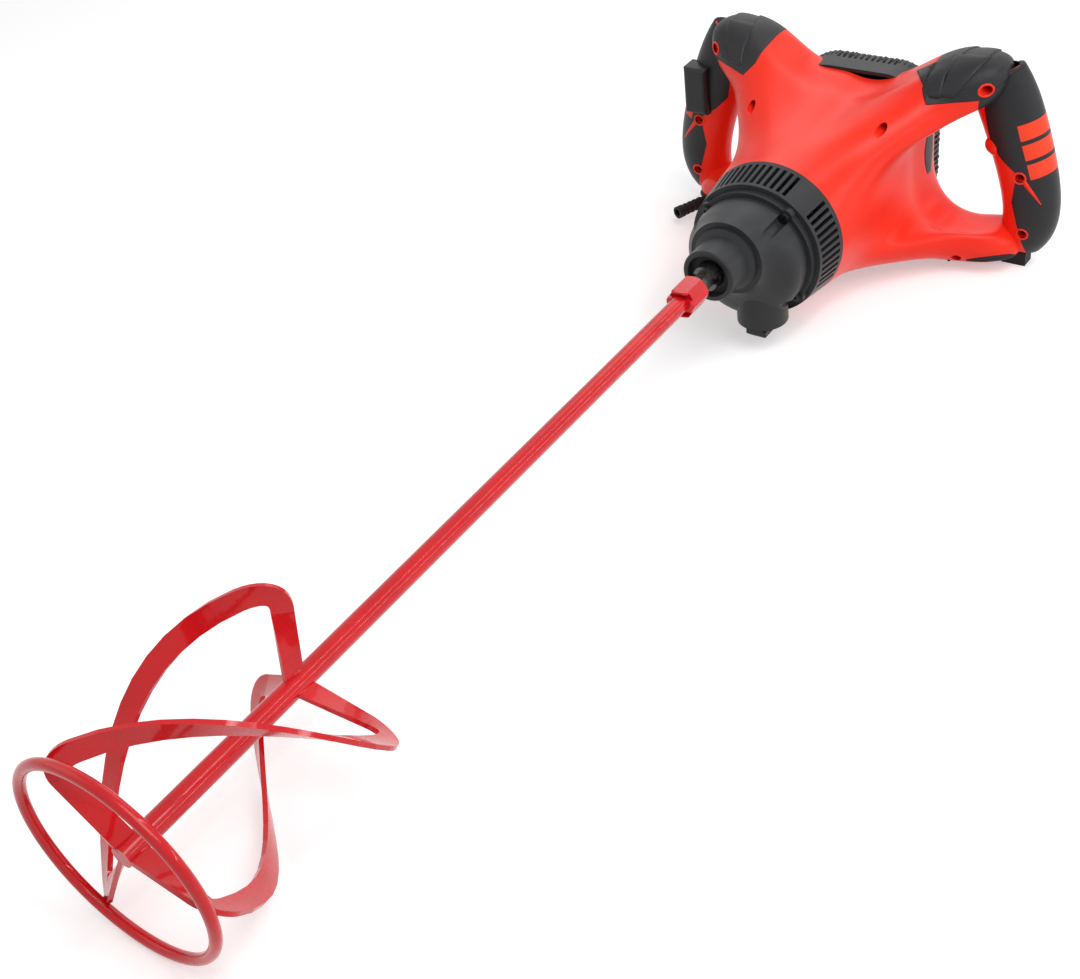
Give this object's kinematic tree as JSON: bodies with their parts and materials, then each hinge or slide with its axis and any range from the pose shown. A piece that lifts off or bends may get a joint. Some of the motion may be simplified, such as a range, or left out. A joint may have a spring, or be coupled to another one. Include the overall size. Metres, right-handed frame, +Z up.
{
  "type": "mixing drill",
  "caption": "Two-handled electric mixing drill with a spindle, reduction gears, motor, trigger and a fitted ring paddle with twisted blades, lying on its rest pads.",
  "frame": {"origin": "middle of the tool's box on the floor, with the tool lying on its rest pads and the paddle's ring", "axes": "+Y along the tool from the paddle to the rear cover, +Z up, +X to the handle without the trigger"},
  "size_m": [0.346, 0.9008, 0.1818],
  "materials": {
    "red_enamel": "gloss enamel",
    "red_plastic": "satin",
    "stripe_plastic": "satin",
    "dark_plastic": "fine grained",
    "grip_rubber": "matt soft touch",
    "soft_rubber": "matt",
    "dark_steel": "oiled",
    "bright_steel": "ground",
    "black_steel": "black oxide",
    "plate_aluminium": "die cast",
    "core_iron": "laminated",
    "copper_winding": "varnished wire",
    "copper_bars": "turned",
    "carbon": "matt"
  },
  "bodies": {
    "housing": {"gear_housing": "dark_plastic", "gearbox_screws": "black_steel", "bearing_plate": "plate_aluminium", "oil_seal": "soft_rubber", "spindle_circlip": "bright_steel", "spindle_front_bearing": "bright_steel", "spindle_rear_bearing": "bright_steel", "layshaft_front_bearing": "bright_steel", "layshaft_rear_bearing": "bright_steel", "motor_front_bearing": "bright_steel", "motor_rear_bearing": "bright_steel", "stator_core": "core_iron", "field_coils": "copper_winding", "carbon_brushes": "carbon", "brush_holders": "copper_bars", "motor_barrel": "dark_plastic", "rear_motor_cover": "dark_plastic", "front_housing": "red_plastic", "rear_housing": "red_plastic", "right_cap_grip": "grip_rubber", "left_cap_grip": "grip_rubber", "right_outer_grip": "grip_rubber", "left_outer_grip": "grip_rubber", "right_grip_stripes": "stripe_plastic", "left_grip_stripes": "stripe_plastic", "right_rest_pad": "soft_rubber", "left_rest_pad": "soft_rubber", "housing_screws": "black_steel", "switch_body": "dark_plastic", "control_board": "dark_plastic", "cord_sleeve": "soft_rubber", "cord_clamp": "dark_plastic", "cord_clamp_screws": "black_steel"},
    "spindle": {"spindle": "dark_steel", "spindle_gear": "bright_steel", "drive_stud": "dark_steel", "coupling_nut": "red_enamel", "paddle_rod": "red_enamel", "paddle_ring": "red_enamel", "paddle_blade_1": "red_enamel", "paddle_blade_2": "red_enamel", "paddle_blade_3": "red_enamel"},
    "layshaft": {"layshaft": "bright_steel", "layshaft_gear": "bright_steel"},
    "armature": {"armature_shaft": "bright_steel", "armature_core": "core_iron", "armature_winding": "copper_winding", "commutator": "copper_bars", "cooling_fan": "dark_plastic"},
    "trigger": {"trigger": "dark_plastic", "trigger_spring": "bright_steel"},
    "lock_button": {"lock_button": "stripe_plastic", "lock_button_spring": "bright_steel"},
    "speed_dial": {"speed_dial": "dark_plastic"},
    "selector_knob": {"selector_knob": "dark_plastic"}
  },
  "joints": [
    {"name": "spindle_spin", "type": "hinge", "parent": "housing", "child": "spindle", "pos_m": [0, 0.16289, 0.08953], "axis": [0, 0.9995, 0.0322], "continuous": true},
    {"name": "layshaft_spin", "type": "hinge", "parent": "housing", "child": "layshaft", "pos_m": [0.02157, 0.20378, 0.0782], "axis": [0, 0.9995, 0.0322], "continuous": true},
    {"name": "armature_spin", "type": "hinge", "parent": "housing", "child": "armature", "pos_m": [0, 0.27988, 0.07629], "axis": [0, 0.9995, 0.0322], "continuous": true},
    {"name": "trigger_press", "type": "slide", "parent": "housing", "child": "trigger", "axis": [0, 0.9995, 0.0322], "range_m": [0, 0.005], "stiffness_N_per_m": 900, "springref_m": -0.004, "deforming": ["trigger_spring"]},
    {"name": "lock_button_press", "type": "slide", "parent": "housing", "child": "lock_button", "axis": [0, -0.9995, -0.0322], "range_m": [0, 0.0025], "stiffness_N_per_m": 700, "springref_m": -0.003, "deforming": ["lock_button_spring"]},
    {"name": "speed_dial_turn", "type": "hinge", "parent": "housing", "child": "speed_dial", "pos_m": [-0.148, 0.44463, 0.05859], "axis": [0, 0.9995, 0.0322], "range_deg": [0, 270]},
    {"name": "selector_turn", "type": "hinge", "parent": "housing", "child": "selector_knob", "pos_m": [0.012, 0.22505, 0.0235], "axis": [0, 0.0322, -0.9995], "range_deg": [0, 180]}
  ],
  "couplings": [
    {"joint": "layshaft_spin", "follows": "spindle_spin", "ratio": -3},
    {"joint": "armature_spin", "follows": "spindle_spin", "ratio": 11.667}
  ]
}
